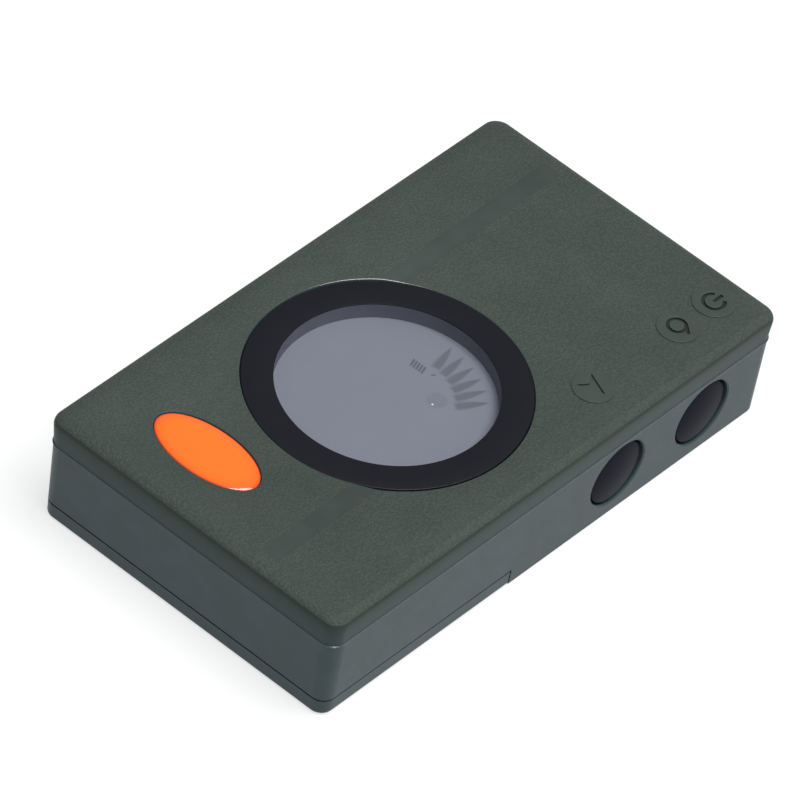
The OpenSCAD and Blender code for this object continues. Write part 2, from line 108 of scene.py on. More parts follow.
class Nodes:
    """Short names for building a material's node tree."""

    def __init__(self, name):
        self.mat = bpy.data.materials.new(name)
        self.mat.use_nodes = True
        self.tree = self.mat.node_tree
        self.shader = self.tree.nodes["Principled BSDF"]
        self.coords = self.tree.nodes.new("ShaderNodeTexCoord").outputs["Object"]

    def put(self, kind, inputs, **settings):
        """New node; each input is a value or the socket that feeds it."""
        node = self.tree.nodes.new(kind)
        for key, value in settings.items():
            setattr(node, key, value)
        for key, value in inputs.items():
            if isinstance(value, bpy.types.NodeSocket):
                self.tree.links.new(value, node.inputs[key])
            else:
                node.inputs[key].default_value = value
        return node

    def noise(self, scale, detail=2.0, rough=0.5, stretch=None):
        """Noise of 0 to 1, in the piece's own space."""
        vector = self.coords
        if stretch:
            vector = self.put("ShaderNodeMapping", {"Vector": self.coords, "Scale": stretch}).outputs[0]
        inputs = {"Vector": vector, "Scale": scale, "Detail": detail, "Roughness": rough}
        return self.put("ShaderNodeTexNoise", inputs).outputs["Fac"]

    def between(self, value, low, high):
        """A value of 0 to 1 stretched to lie between low and high."""
        return self.put("ShaderNodeMapRange", {"Value": value, "To Min": low, "To Max": high}).outputs[0]

    def multiply(self, first, second):
        """Two colours multiplied together."""
        inputs = {"Fac": 1.0, "Color1": first, "Color2": second}
        return self.put("ShaderNodeMixRGB", inputs, blend_type="MULTIPLY").outputs[0]

    def ramp(self, fac, stops):
        """Colour ramp through (position, colour) stops."""
        node = self.put("ShaderNodeValToRGB", {"Fac": fac})
        elements = node.color_ramp.elements
        for element, (position, color) in zip(elements, (stops[0], stops[-1])):
            element.position = position
            element.color = (*color, 1)
        for position, color in stops[1:-1]:
            elements.new(position).color = (*color, 1)
        return node.outputs["Color"]

    def bump(self, height, strength, distance):
        """Normals of a relief this many millimetres deep."""
        inputs = {"Height": height, "Strength": strength, "Distance": distance * MM}
        return self.put("ShaderNodeBump", inputs).outputs["Normal"]

    def set(self, **values):
        """Sets or links inputs of the shader, and returns the material."""
        for key, value in values.items():
            socket = self.shader.inputs[SHADER_INPUTS[key]]
            if isinstance(value, bpy.types.NodeSocket):
                self.tree.links.new(value, socket)
            else:
                socket.default_value = value
        return self.mat


def tint(color, k):
    """The colour, k times as light."""
    return tuple(min(1.0, c * k) for c in color)


def mottled(n, color, scale=300, spread=0.08):
    """Colour that varies a little over the surface, as moulded plastic does."""
    return n.ramp(n.noise(scale, 3), [(0.35, tint(color, 1 - spread)), (0.65, tint(color, 1 + spread))])


def satin(name, color, rough=0.4, spec=0.5, grain=0.1, spread=0.06, scale=250):
    """Moulded plastic with a very fine surface."""
    n = Nodes(name)
    fine = n.noise(4500, 3, 0.6)
    roughness = n.between(n.noise(900, 2), rough - 0.04, rough + 0.04)
    return n.set(color=mottled(n, color, scale, spread), rough=roughness, spec=spec,
                 normal=n.bump(fine, grain, 0.02))


def band_with_painted_shade(name, low_color, shaded_high_color):
    """Satin plastic whose colour darkens with height up the side of the upper case: painted shade, drawn
    darker towards the rim where the band curves over.
    """
    n = Nodes(name)
    height = n.put("ShaderNodeSeparateXYZ", {"Vector": n.coords}).outputs["Z"]
    limits = {"From Min": PART_Z * MM, "From Max": (TOP_Z - 1) * MM}
    place = n.put("ShaderNodeMapRange", {"Value": height, **limits}).outputs[0]
    tone = n.ramp(place, [(0.0, low_color), (0.55, tint(low_color, 0.92)), (1.0, shaded_high_color)])
    broad = n.ramp(n.noise(200, 3), [(0.3, (0.96, 0.96, 0.96)), (0.7, (1.03, 1.03, 1.03))])
    return n.set(color=n.multiply(tone, broad), rough=0.42, spec=0.14,
                 normal=n.bump(n.noise(4500, 3, 0.6), 0.1, 0.02))


def leather_grain(name, color):
    """Moulded plastic with a fine pebbled grain."""
    n = Nodes(name)
    pebble_inputs = {"Vector": n.coords, "Scale": 2300.0, "Smoothness": 0.4, "Randomness": 1.0}
    pebbles = n.put("ShaderNodeTexVoronoi", pebble_inputs, feature="SMOOTH_F1").outputs["Distance"]
    fine = n.noise(3800, 4, 0.65)
    height = n.put("ShaderNodeMath", {0: pebbles, 1: fine}, operation="SUBTRACT").outputs[0]
    specks = n.ramp(pebbles, [(0.1, tint(color, 1.14)), (0.6, tint(color, 0.84))])
    broad = n.ramp(n.noise(120, 3), [(0.3, (0.93, 0.93, 0.93)), (0.7, (1.06, 1.05, 1.07))])
    return n.set(color=n.multiply(specks, broad), rough=n.between(fine, 0.5, 0.62), spec=0.2,
                 normal=n.bump(height, 0.9, 0.11))


def glossy(name, color, rough, spread=0.04):
    """Smooth coated plastic or board."""
    n = Nodes(name)
    return n.set(color=mottled(n, color, 350, spread), rough=rough, coat=0.4, coat_rough=0.04,
                 normal=n.bump(n.noise(250, 2), 0.05, 0.05))


def metal(name, color, rough, stretch=(1, 1, 1)):
    """Plated or drawn metal, with fine streaks."""
    n = Nodes(name)
    streak = n.noise(2500, 3, 0.6, stretch)
    roughness = n.between(streak, rough - 0.08, rough + 0.1)
    return n.set(color=mottled(n, color, 500, 0.05), metal=1.0, rough=roughness,
                 normal=n.bump(streak, 0.1, 0.02))


def clear(name, color, alpha):
    """Thin glass with a slight haze."""
    n = Nodes(name)
    haze = n.between(n.noise(400, 3), 0.03, 0.06)
    return n.set(color=mottled(n, color, 200, 0.02), rough=haze, alpha=alpha, ior=1.45)


FILM_COLOR = (0.232, 0.242, 0.295)

case_top_mat = leather_grain("case_leather_grain", (0.0457, 0.0602, 0.0498))
strip_mat = satin("case_top_smooth", (0.0352, 0.0472, 0.0422), rough=0.5, spec=0.2, grain=0.1)
# The upper band darkens towards the rim: painted shade.
band_mat = band_with_painted_shade("case_upper_band", (0.0305, 0.052, 0.0505), (0.024, 0.037, 0.027))
lip_mat = satin("case_lip", (0.04, 0.055, 0.048), rough=0.16, spec=0.7, grain=0.02)
mark_mat = satin("case_mark", (0.042, 0.0556, 0.0463), rough=0.38, spec=0.25, grain=0.08)
# The parting bead's base is a little lighter than the case: partly a painted highlight along the parting
# line, besides its real gloss.
bead_highlight_mat = satin("case_bead_painted_highlight", (0.045, 0.062, 0.064), rough=0.26, spec=0.5, grain=0.0)
# The floors of the sunk swirl and power strokes are a darker copy of the mark plastic: painted shade in the
# grooves.
sunk_shade_mat = satin("case_mark_sunk_shade", (0.02, 0.027, 0.022), rough=0.5, spec=0.15, grain=0.08)
case_mat = satin("case_satin", (0.038, 0.06, 0.065), rough=0.4, spec=0.2, grain=0.12)
key_mat = satin("key_satin", (0.0045, 0.0062, 0.0125), rough=0.36, spec=0.03, grain=0.05)
mask_mat = satin("mask_black", (0.0065, 0.0066, 0.01), rough=0.4, spec=0.2, grain=0.0, spread=0.03)
rubber_mat = satin("soft_rubber", (0.012, 0.012, 0.012), rough=0.75, spec=0.3, grain=0.4)
# Grey-violet shroud: the display film's colour darkened, partly painted shade for the film lying in the
# mask's shadow.
shroud_shade_mat = satin("shroud_foam", (0.165, 0.17, 0.217), rough=0.8, spec=0.1, grain=0.1, spread=0.03)
foam_mat = satin("foam", (0.02, 0.02, 0.022), rough=0.95, spec=0.1, grain=0.9, scale=2500, spread=0.4)
frame_mat = satin("black_moulding", (0.015, 0.015, 0.017), rough=0.5)
chip_mat = satin("chip_resin", (0.02, 0.02, 0.022), rough=0.6, grain=0.3)
ivory_mat = satin("ivory_nylon", (0.62, 0.58, 0.46), rough=0.45)
silicone_mat = satin("pink_silicone", (0.55, 0.18, 0.2), rough=0.7)
ceramic_mat = satin("tan_ceramic", (0.33, 0.23, 0.13), rough=0.55)
board_mat = glossy("solder_resist", (0.008, 0.09, 0.03), rough=0.3, spread=0.15)
acrylic_mat = glossy("clear_acrylic", (0.75, 0.82, 0.82), rough=0.1)
led_mat = glossy("led_resin", (0.85, 0.75, 0.3), rough=0.2)
film_mat = satin("display_film", FILM_COLOR, rough=0.35, spec=0.3, grain=0.0, spread=0.012, scale=60)
reflector_mat = metal("reflector_film", (0.62, 0.64, 0.68), rough=0.4)
glass_mat = clear("display_glass", (0.6, 0.66, 0.68), 0.35)
steel_mat = metal("plated_steel", (0.6, 0.59, 0.56), rough=0.28)
bright_mat = metal("bright_plating", (0.68, 0.68, 0.7), rough=0.22)
black_steel_mat = metal("black_plating", (0.05, 0.05, 0.055), rough=0.35)
copper_mat = metal("copper_wire", (0.75, 0.32, 0.14), rough=0.3, stretch=(6, 1, 1))

SLOT_MATERIALS = {
    "case_plastic": case_mat, "foam_pad": foam_mat, "window_clear": glass_mat, "mask_print": mask_mat,
    "black_rubber": rubber_mat, "shroud_foam": shroud_shade_mat, "polarizer_film": film_mat,
    "display_glass": glass_mat, "reflector_film": reflector_mat, "clear_acrylic": acrylic_mat,
    "led_lens": led_mat, "frame_plastic": frame_mat, "elastomer": silicone_mat,
    "board_laminate": board_mat, "chip_body": chip_mat, "bright_metal": bright_mat,
    "bobbin_plastic": ivory_mat, "copper_wire": copper_mat, "capacitor_ceramic": ceramic_mat,
    "resistor_body": chip_mat, "key_plastic": key_mat, "badge_resin": case_mat,
    "cell_jacket": bright_mat, "plated_steel": steel_mat, "black_steel": black_steel_mat}

for row in frame["record"]["subparts"]:
    for s in frame["nodes"][row["node"]].material_slots:
        s.material = SLOT_MATERIALS[row["material_slot"]]


# ---- mesh helpers ----


def add_piece(name, bm, materials, body, nodes=(), smooth_angle=40):
    """Makes an object from a bmesh drawn in millimetres, and says what it rides on and stands for."""
    bmesh.ops.scale(bm, vec=(MM, MM, MM), verts=bm.verts)
    bmesh.ops.recalc_face_normals(bm, faces=bm.faces)
    mesh = bpy.data.meshes.new(name)
    bm.to_mesh(mesh)
    bm.free()
    for m in materials:
        mesh.materials.append(m)
    mesh.shade_smooth()
    mesh.set_sharp_from_angle(angle=math.radians(smooth_angle))
    piece = bpy.data.objects.new(name, mesh)
    bpy.context.scene.collection.objects.link(piece)
    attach(piece, body)
    if nodes:
        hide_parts(*nodes)
    return piece


def arc(cx, cy, r, start, end, steps=48):
    """Points on an arc, from one angle in degrees to another."""
    angles = [math.radians(start + (end - start) * k / steps) for k in range(steps + 1)]
    return [(cx + r * math.cos(a), cy + r * math.sin(a)) for a in angles]


def full_circle(cx, cy, r, steps=96):
    return arc(cx, cy, r, 0, 360, steps)[:-1]


def outline(hx, hy, r, xs):
    """Points anticlockwise round a rectangle with round corners, with extra points at xs on its two ends."""
    points = []
    corners = [(hx - r, -hy + r, -90), (hx - r, hy - r, 0), (-hx + r, hy - r, 90), (-hx + r, -hy + r, 180)]
    for i, (cx, cy, start) in enumerate(corners):
        points += arc(cx, cy, r, start, start + 90, 10)
        if i == 1:
            points += [(x, hy) for x in sorted(xs, reverse=True)]
        if i == 3:
            points += [(x, -hy) for x in sorted(xs)]
    return points


def ring(bm, points, z):
    """Vertices at these points; z is a number or a function of x and y."""
    return [bm.verts.new((x, y, z(x, y) if callable(z) else z)) for x, y in points]


def bridge(bm, low, high, material=0):
    """Faces between two closed rings of the same length."""
    n = len(low)
    for i in range(n):
        j = (i + 1) % n
        bm.faces.new((low[i], low[j], high[j], high[i])).material_index = material


def fill(bm, outer, holes, z, material, lines=()):
    """Flat sheet between rings of vertices that exist already, with some edges inside it."""
    verts = list(outer)
    loops = [list(range(len(outer)))]
    for h in holes:
        loops.append(list(range(len(verts), len(verts) + len(h))))
        verts += h
    place = {v: i for i, v in enumerate(verts)}
    edges = [(l[i], l[(i + 1) % len(l)]) for l in loops for i in range(len(l))]
    edges += [(place[a], place[b]) for a, b in lines]
    points = [Vector((v.co.x, v.co.y)) for v in verts]
    made, _, faces, originals, _, _ = delaunay_2d_cdt(points, edges, [], 1, 1e-5)
    own = []
    for p, o in zip(made, originals):
        own.append(verts[o[0]] if o else ring(bm, [(p.x, p.y)], z)[0])
    hole_polygons = [[points[i] for i in l] for l in loops[1:]]
    for f in faces:
        c = sum((made[i] for i in f), Vector((0, 0))) / len(f)
        if not any(inside(c, polygon) for polygon in hole_polygons):
            face = bm.faces.new([own[i] for i in f])
            face.material_index = material(c) if callable(material) else material


def inside(p, polygon):
    """Whether a point lies in a polygon."""
    hit = False
    for a, b in zip(polygon, polygon[1:] + polygon[:1]):
        if (a.y > p.y) != (b.y > p.y) and p.x < a.x + (p.y - a.y) * (b.x - a.x) / (b.y - a.y):
            hit = not hit
    return hit


def lathe(profile, steps=96):
    """Closed turned shape about +Z from (radius, height) points; a radius of 0 closes an end."""
    bm = bmesh.new()
    turns = [2 * math.pi * k / steps for k in range(steps)]
    rings = []
    for r, h in profile:
        points = [(r * math.cos(t), r * math.sin(t)) for t in turns] if r else [(0, 0)]
        rings.append(ring(bm, points, h))
    for a, b in zip(rings, rings[1:]):
        for k in range(steps):
            n = (k + 1) % steps
            if len(a) == 1:
                bm.faces.new((a[0], b[n], b[k]))
            elif len(b) == 1:
                bm.faces.new((a[k], a[n], b[0]))
            else:
                bm.faces.new((a[k], a[n], b[n], b[k]))
    return bm


# ---- upper case ----


def soft_step(t):
    """0 to 1, with slightly eased ends."""
    t = min(1.0, max(0.0, t))
    return t - 0.05 * math.sin(2 * math.pi * t)


def level(x, y):
    """Height of the top face: high on the left, low on the right, with a sloped strip between."""
    start = FAR_RAMP if y > WINDOW_Y else NEAR_RAMP
    return TOP_Z - (TOP_Z - LOW_Z) * soft_step((x - start) / RAMP_W)


def arc_z(d):
    """Height of the rounded rim at a distance d in from the side wall."""
    return TOP_Z if d >= RIM_INSET else TOP_Z - RIM_R + math.sqrt(RIM_R ** 2 - (RIM_INSET - d) ** 2)


RAMP_STEPS = [-0.06, 0.06, 0.2, 0.5, 0.8, 0.94, 1.06]
RAMP_XS = [start + t * RAMP_W for start in (FAR_RAMP, NEAR_RAMP) for t in RAMP_STEPS]


def shell_outline(d, r):
    """Outline of the case, d in from its side walls."""
    return outline(HALF_W - d, HALF_L - d, r, RAMP_XS)


def window_angles(r, steps=160):
    """Angles of the points round the window, with extra ones where the sloped strips meet its edge."""
    angles = {2 * math.pi * k / steps for k in range(steps)}
    too_close = 0.008
    for x in RAMP_XS:
        exact = math.acos(x / r) if x < 0 else 2 * math.pi - math.acos(x / r)
        angles = {a for a in angles if abs(a - exact) > too_close}
        angles.add(exact)
    return sorted(angles)


LIP = 0.2
BEAD = 0.14
OVERHANG = 0.12
EDGE_INSET = 0.6
EDGE_DROP = 0.9
WINDOW_ANGLES = window_angles(HOLE_R + LIP)


def circle_points(r):
    return [(r * math.cos(a), WINDOW_Y + r * math.sin(a)) for a in WINDOW_ANGLES]


def oval_points(a, b, steps=96):
    turns = [2 * math.pi * k / steps for k in range(steps)]
    return [(BADGE.x + a * math.cos(t), BADGE.y + b * math.sin(t)) for t in turns]


def build_upper_case():
    """The whole upper case as one surface: rim, stepped top face, window seat, badge recess and pockets."""
    bm = bmesh.new()
    grained, band, strip_face, wall_face, lip_face, mark_face, bead_highlight_face, sunk_shade_face = range(8)
    edge_z = arc_z(0)
    profile = [(OVERHANG, PART_Z + 0.1), (OVERHANG + BEAD, PART_Z + 0.1 + BEAD)]
    bead_rings = len(profile)
    profile.append((0.0, edge_z - EDGE_DROP))
    for t in (0.2, 0.4, 0.6, 0.8, 1.0):
        a, b = (0.0, edge_z - EDGE_DROP), (EDGE_INSET, arc_z(EDGE_INSET))
        c = (0.0, edge_z + 0.06)
        profile.append(tuple((1 - t) ** 2 * p + 2 * t * (1 - t) * q + t * t * s for p, q, s in zip(a, c, b)))
    crease = RIM_INSET - math.sqrt(RIM_R ** 2 - (LOW_Z - TOP_Z + RIM_R) ** 2)
    insets = [0.75, 0.95, 1.15, crease - 0.12, crease - 0.03, crease + 0.05, crease + 0.2]
    insets += [1.9, 2.2, 2.5, 2.8, 3.0, RIM_INSET, 3.4]
    rings = [ring(bm, shell_outline(OVERHANG, CORNER_R), PART_Z)]
    for d, z in profile:
        rings.append(ring(bm, shell_outline(d, CORNER_R), z))
    wall_rings = len(rings)
    for d in insets:
        turn_r = CORNER_R - 0.3 * min(d, 3.0)
        rings.append(ring(bm, shell_outline(d, turn_r), lambda x, y, d=d: min(arc_z(d), level(x, y))))
    band_end = wall_rings - 3
    for i, (low, high) in enumerate(zip(rings, rings[1:])):
        bridge(bm, low, high, bead_highlight_face if i < bead_rings else band if i < band_end else grained)

    window = []
    for d, drop in ((LIP, 0.0), (LIP * 0.55, 0.03), (LIP * 0.2, 0.08), (0.0, 0.16)):
        window.append(ring(bm, circle_points(HOLE_R + d), lambda x, y, drop=drop: level(x, y) - drop))
    ledge = [ring(bm, circle_points(r), LEDGE_Z) for r in (HOLE_R, LEDGE_R)]
    seat = 1.2
    under = [ring(bm, circle_points(LEDGE_R), LEDGE_Z - seat),
             ring(bm, circle_points(HOLE_R + seat), LEDGE_Z - seat),
             ring(bm, circle_points(HOLE_R + seat), LEDGE_Z)]
    for a, b in zip(window, window[1:]):
        bridge(bm, a, b, lip_face)
    for a, b in zip(window[-1:] + ledge + under, ledge + under):
        bridge(bm, a, b, wall_face)

    gap = 0.12
    recess = []
    for d, drop in ((gap + 0.16, 0.0), (gap + 0.1, 0.02), (gap + 0.04, 0.06), (gap, 0.14)):
        points = oval_points(BADGE_A + d, BADGE_B + d)
        recess.append(ring(bm, points, lambda x, y, drop=drop: level(x, y) - drop))
    recess.append(ring(bm, oval_points(BADGE_A + gap, BADGE_B + gap), badge_low.z))
    for a, b in zip(recess, recess[1:]):
        bridge(bm, a, b, wall_face)
    bm.faces.new(recess[-1]).material_index = wall_face

    pockets = []
    for y in MARK_YS:
        pocket_edge = ring(bm, full_circle(MARK_X, y, POCKET_R), level)
        pockets.append(pocket_edge)
        pocket_floor = ring(bm, full_circle(MARK_X, y, POCKET_R), LOW_Z - GLYPH_SINK)
        bridge(bm, pocket_edge, pocket_floor, mark_face)
        # Under the swirl and power signs the floor is darker: painted shade.
        bm.faces.new(pocket_floor).material_index = mark_face if y == MARK_YS[0] else sunk_shade_face

    lines = []
    for x in RAMP_XS:
        edge = [v for v in rings[-1] if abs(v.co.x - x) < 1e-6 and (v.co.y > 0) == (x < 0)][0]
        same_side = [v for v in window[0] if (v.co.y > WINDOW_Y) == (x < 0)]
        lines.append((edge, min(same_side, key=lambda v: abs(v.co.x - x))))

    def strip(c):
        start = FAR_RAMP if c.y > WINDOW_Y else NEAR_RAMP
        return strip_face if 0.0 < (c.x - start) / RAMP_W < 1.0 else grained

    fill(bm, rings[-1], [window[0], recess[0]] + pockets, level, strip, lines)

    wall = 1.8
    inner = [ring(bm, outline(HALF_W - wall, HALF_L - wall, 1.2, RAMP_XS), z) for z in (PART_Z, LEDGE_Z)]
    bridge(bm, rings[0], inner[0], wall_face)
    bridge(bm, inner[0], inner[1], wall_face)
    fill(bm, inner[1], [under[-1]], LEDGE_Z, wall_face)
    materials = [case_top_mat, band_mat, strip_mat, case_mat, lip_mat, mark_mat, bead_highlight_mat, sunk_shade_mat]
    add_piece("case_top", bm, materials, "case", ["top_shell"], 35)


build_upper_case()


# ---- raised marks ----


def flat_curve(name, splines, extrude, bevel):
    """Mesh of a flat shape with holes, extruded both ways, with rounded edges. Lengths in millimetres."""
    curve = bpy.data.curves.new(name, "CURVE")
    curve.dimensions = "2D"
    curve.fill_mode = "BOTH"
    curve.extrude = extrude
    curve.bevel_depth = bevel
    curve.bevel_resolution = 3
    curve.offset = -bevel
    for points in splines:
        spline = curve.splines.new("POLY")
        spline.points.add(len(points) - 1)
        for p, (x, y) in zip(spline.points, points):
            p.co = (x, y, 0, 1)
        spline.use_cyclic_u = True
    holder = bpy.data.objects.new(name, curve)
    bpy.context.scene.collection.objects.link(holder)
    mesh = bpy.data.meshes.new_from_object(holder.evaluated_get(bpy.context.evaluated_depsgraph_get()))
    bpy.data.objects.remove(holder)
    bpy.data.curves.remove(curve)
    bm = bmesh.new()
    bm.from_mesh(mesh)
    bpy.data.meshes.remove(mesh)
    bmesh.ops.remove_doubles(bm, verts=bm.verts, dist=1e-4)
    return bm


# Each sign is a list of closed outlines about the middle of its disc.
arrow_glyph = [[(2.33, 0.08), (-2.22, 1.97), (-0.92, 0.0), (-2.22, -1.86)]]
swirl_tail = [(2.07, -0.36), (2.45, 0.1)]
swirl_glyph = [arc(-0.35, 0, 1.85, 50, 363) + swirl_tail, full_circle(-0.35, 0, 1.25)]
power_bar = [(-0.3, 0.0), (0.3, 0.0), (0.3, 2.2), (-0.3, 2.2)]
power_glyph = [arc(0, 0, 2.1, 127, 413) + arc(0, 0, 1.5, 413, 127), power_bar]

MARK_BEVEL = 0.08
MARK_NAMES = ("mark_arrow", "mark_swirl", "mark_power")
mark_half = (MARK_RISE + GLYPH_SINK) / 2
for mark_name, mark_y, glyph in zip(MARK_NAMES, MARK_YS, (arrow_glyph, swirl_glyph, power_glyph)):
    bm = flat_curve(mark_name, [full_circle(0, 0, MARK_R)] + glyph, mark_half - MARK_BEVEL, MARK_BEVEL)
    bmesh.ops.translate(bm, verts=bm.verts, vec=(MARK_X, mark_y, LOW_Z + MARK_RISE - mark_half))
    add_piece(mark_name, bm, [mark_mat], "case", smooth_angle=50)


# ---- window ----

MASK_T = 0.2
MASK_EDGE = 0.14
MASK_INNER_EDGE = 0.04
COLLAR_GAP = 0.05
COLLAR_T = 0.6
shroud_low, shroud_high = mm_box("display_gasket")


def turned_ring(name, profile, material, node):
    """Ring about the middle of the window, from a closed profile of (radius, height)."""
    bm = lathe(profile + profile[:1], 192)
    bmesh.ops.remove_doubles(bm, verts=bm.verts, dist=1e-4)
    bmesh.ops.translate(bm, verts=bm.verts, vec=(0, WINDOW_Y, 0))
    add_piece(name, bm, [material], "case", [node], 60)


mask_base = mask_high.z - MASK_T
disc_r = SIGHT_R - 0.02
profile = [(0, LEDGE_Z), (disc_r, LEDGE_Z), (disc_r, mask_base), (0, mask_base)]
bm = lathe(profile, 192)
bmesh.ops.translate(bm, verts=bm.verts, vec=(0, WINDOW_Y, 0))
lens = Nodes("window_clear")
lens_mat = lens.set(color=mottled(lens, (0.02, 0.02, 0.025), 60, 0.02), rough=0.05, alpha=0.1, ior=1.5)
add_piece("window_disc", bm, [lens_mat], "case", ["window_lens"], 60)

collar_r = SIGHT_R + COLLAR_T
mask_inner = collar_r + COLLAR_GAP
profile = [(SIGHT_R, mask_base), (mask_inner, mask_base), (mask_inner, LEDGE_Z), (WINDOW_R, LEDGE_Z)]
profile += arc(WINDOW_R - MASK_EDGE, mask_high.z - MASK_EDGE, MASK_EDGE, 0, 90, 4)
profile += arc(SIGHT_R + MASK_INNER_EDGE, mask_high.z - MASK_INNER_EDGE, MASK_INNER_EDGE, 90, 180, 3)
turned_ring("mask_ring", profile, mask_mat, "window_mask")

# The shroud's collar rises beside the clear disc up to the mask, so its darkened film colour shows as a rim
# round the display: partly painted shade for the film in the mask's shadow.
profile = [(SIGHT_R, shroud_low.z), (shroud_high.x, shroud_low.z), (shroud_high.x, LEDGE_Z)]
profile += [(collar_r, LEDGE_Z), (collar_r, mask_base), (SIGHT_R, mask_base)]
turned_ring("display_shroud", profile, shroud_shade_mat, "display_gasket")


def lcd_sheet(name, splines, material, z):
    """Very thin print on the display's film."""
    bm = flat_curve(name, splines, 0.004, 0.0)
    bmesh.ops.translate(bm, verts=bm.verts, vec=(0, 0, z))
    add_piece(name, bm, [material], "case")


def film_tone(name, k):
    """Print on the display's film: the film's own colour, k times as light."""
    return satin(name, tint(FILM_COLOR, k), rough=0.35, spec=0.3, grain=0.0, spread=0.01)


pointer_mats = [film_tone("lcd_pointer_edge", 0.88), film_tone("lcd_pointer_soft", 0.77),
                film_tone("lcd_pointer", 0.66)]
block_mat = film_tone("lcd_block", 0.56)
disc_mats = [film_tone("lcd_disc_edge", 0.96), film_tone("lcd_disc", 0.91)]
speck_mat = film_tone("lcd_speck", 3.2)


def polar(r, degrees):
    """Point on the film, from its distance and angle about the middle of the window."""
    a = math.radians(degrees)
    return Vector((r * math.cos(a), WINDOW_Y + r * math.sin(a)))


def leaf(start, end, width):
    """Outline of a leaf-shaped segment: blunt at start, pointed at end."""
    along = end - start
    side = Vector((-along.y, along.x)).normalized() * width / 2
    widths = [(0.0, 0.8), (0.08, 0.97), (0.25, 1.0), (0.5, 0.85), (0.75, 0.5), (0.92, 0.2), (1.0, 0.05)]
    edge = [tuple(start + along * t + side * w) for t, w in widths]
    return edge + [tuple(start + along * t - side * w) for t, w in reversed(widths)]


# Each pointer is three leaves of one shape, smaller and darker upwards, so that its edge looks soft.
POINTERS = 6
POINTER_STEP = 9.4
POINTER_LAYERS = ((1.9, 0.0), (1.5, 0.2), (1.1, 0.4))
LAYER_RISE = 0.02
LEAF_RISE = 0.002
film_z = film_high.z + 0.01
for layer, (width, inset) in enumerate(POINTER_LAYERS):
    for k in range(POINTERS):
        root = polar(11.2 + inset, 86 - POINTER_STEP * k)
        tip = polar(16.9 - inset, 92 - POINTER_STEP * k)
        height = film_z + LAYER_RISE * layer + LEAF_RISE * k
        lcd_sheet("lcd_pointer_%d_%d" % (k, layer), [leaf(root, tip, width)], pointer_mats[layer], height)

STROKE_XS = (0.0, 0.6, 1.2, 1.8, 2.4)
strokes = [[(-2.5 + x, 0.9), (-2.1 + x, 0.9), (-2.6 + x, 2.5), (-3.0 + x, 2.5)] for x in STROKE_XS]
strokes.append([(1.3, 1.9), (1.5, 1.7), (2.0, 2.3), (1.8, 2.5)])
lcd_sheet("lcd_block", strokes, block_mat, film_z)
for layer, r in enumerate((1.9, 1.5)):
    circle = full_circle(5.8, -1.7, r, 48)
    lcd_sheet("lcd_disc_%d" % layer, [circle], disc_mats[layer], film_z + LAYER_RISE * layer)
lcd_sheet("lcd_speck", [full_circle(6.1, -3.1, 0.2, 24)], speck_mat, film_z + 0.07)


# ---- badge ----

badge = Nodes("badge_resin")
centred = badge.put("ShaderNodeMapping", {"Vector": badge.coords, "Location": -BADGE * MM}).outputs[0]
to_unit = (1 / (BADGE_A * MM), 1 / (BADGE_B * MM), 0)
unit = badge.put("ShaderNodeMapping", {"Vector": centred, "Scale": to_unit}).outputs[0]
reach = badge.put("ShaderNodeVectorMath", {0: unit}, operation="LENGTH").outputs["Value"]
# The badge's colour goes from orange in the middle to dark red-brown at its edge: painted shade where the
# dome curves down.
dome_shade_tones = [(0.75, (1.0, 0.152, 0.007)), (0.93, (0.97, 0.125, 0.005)), (1.0, (0.6, 0.05, 0.003))]
badge_mat = badge.set(color=badge.ramp(reach, dome_shade_tones), rough=0.2, coat=0.8, coat_rough=0.05,
                      normal=badge.bump(badge.noise(200, 2), 0.08, 0.08))
bm = bmesh.new()
BADGE_CHAMFER = 0.1
DOME_RISE = 0.5
DOME_INSET = 3.6
DOME_STEPS = 12
rings = [ring(bm, oval_points(BADGE_A - BADGE_CHAMFER, BADGE_B - BADGE_CHAMFER), badge_low.z),
         ring(bm, oval_points(BADGE_A, BADGE_B), badge_low.z + BADGE_CHAMFER)]
dome_z = badge_high.z - DOME_RISE
for k in range(DOME_STEPS + 1):
    a = math.radians(90 * k / DOME_STEPS)
    inset = DOME_INSET * (1 - math.cos(a))
    rings.append(ring(bm, oval_points(BADGE_A - inset, BADGE_B - inset), dome_z + DOME_RISE * math.sin(a)))
for a, b in zip(rings, rings[1:]):
    bridge(bm, a, b)
bm.faces.new(rings[0])
bm.faces.new(rings[-1])
add_piece("badge_oval", bm, [badge_mat], "case", ["badge"], 60)


# ---- keys ----


KEY_R = 6.05
KEY_EDGE = 0.35
KEY_DOME_R = 32.0
STEM_R = 1.8
FLANGE = 1.3
FLANGE_T = 1.0
CHAMFER = 0.1


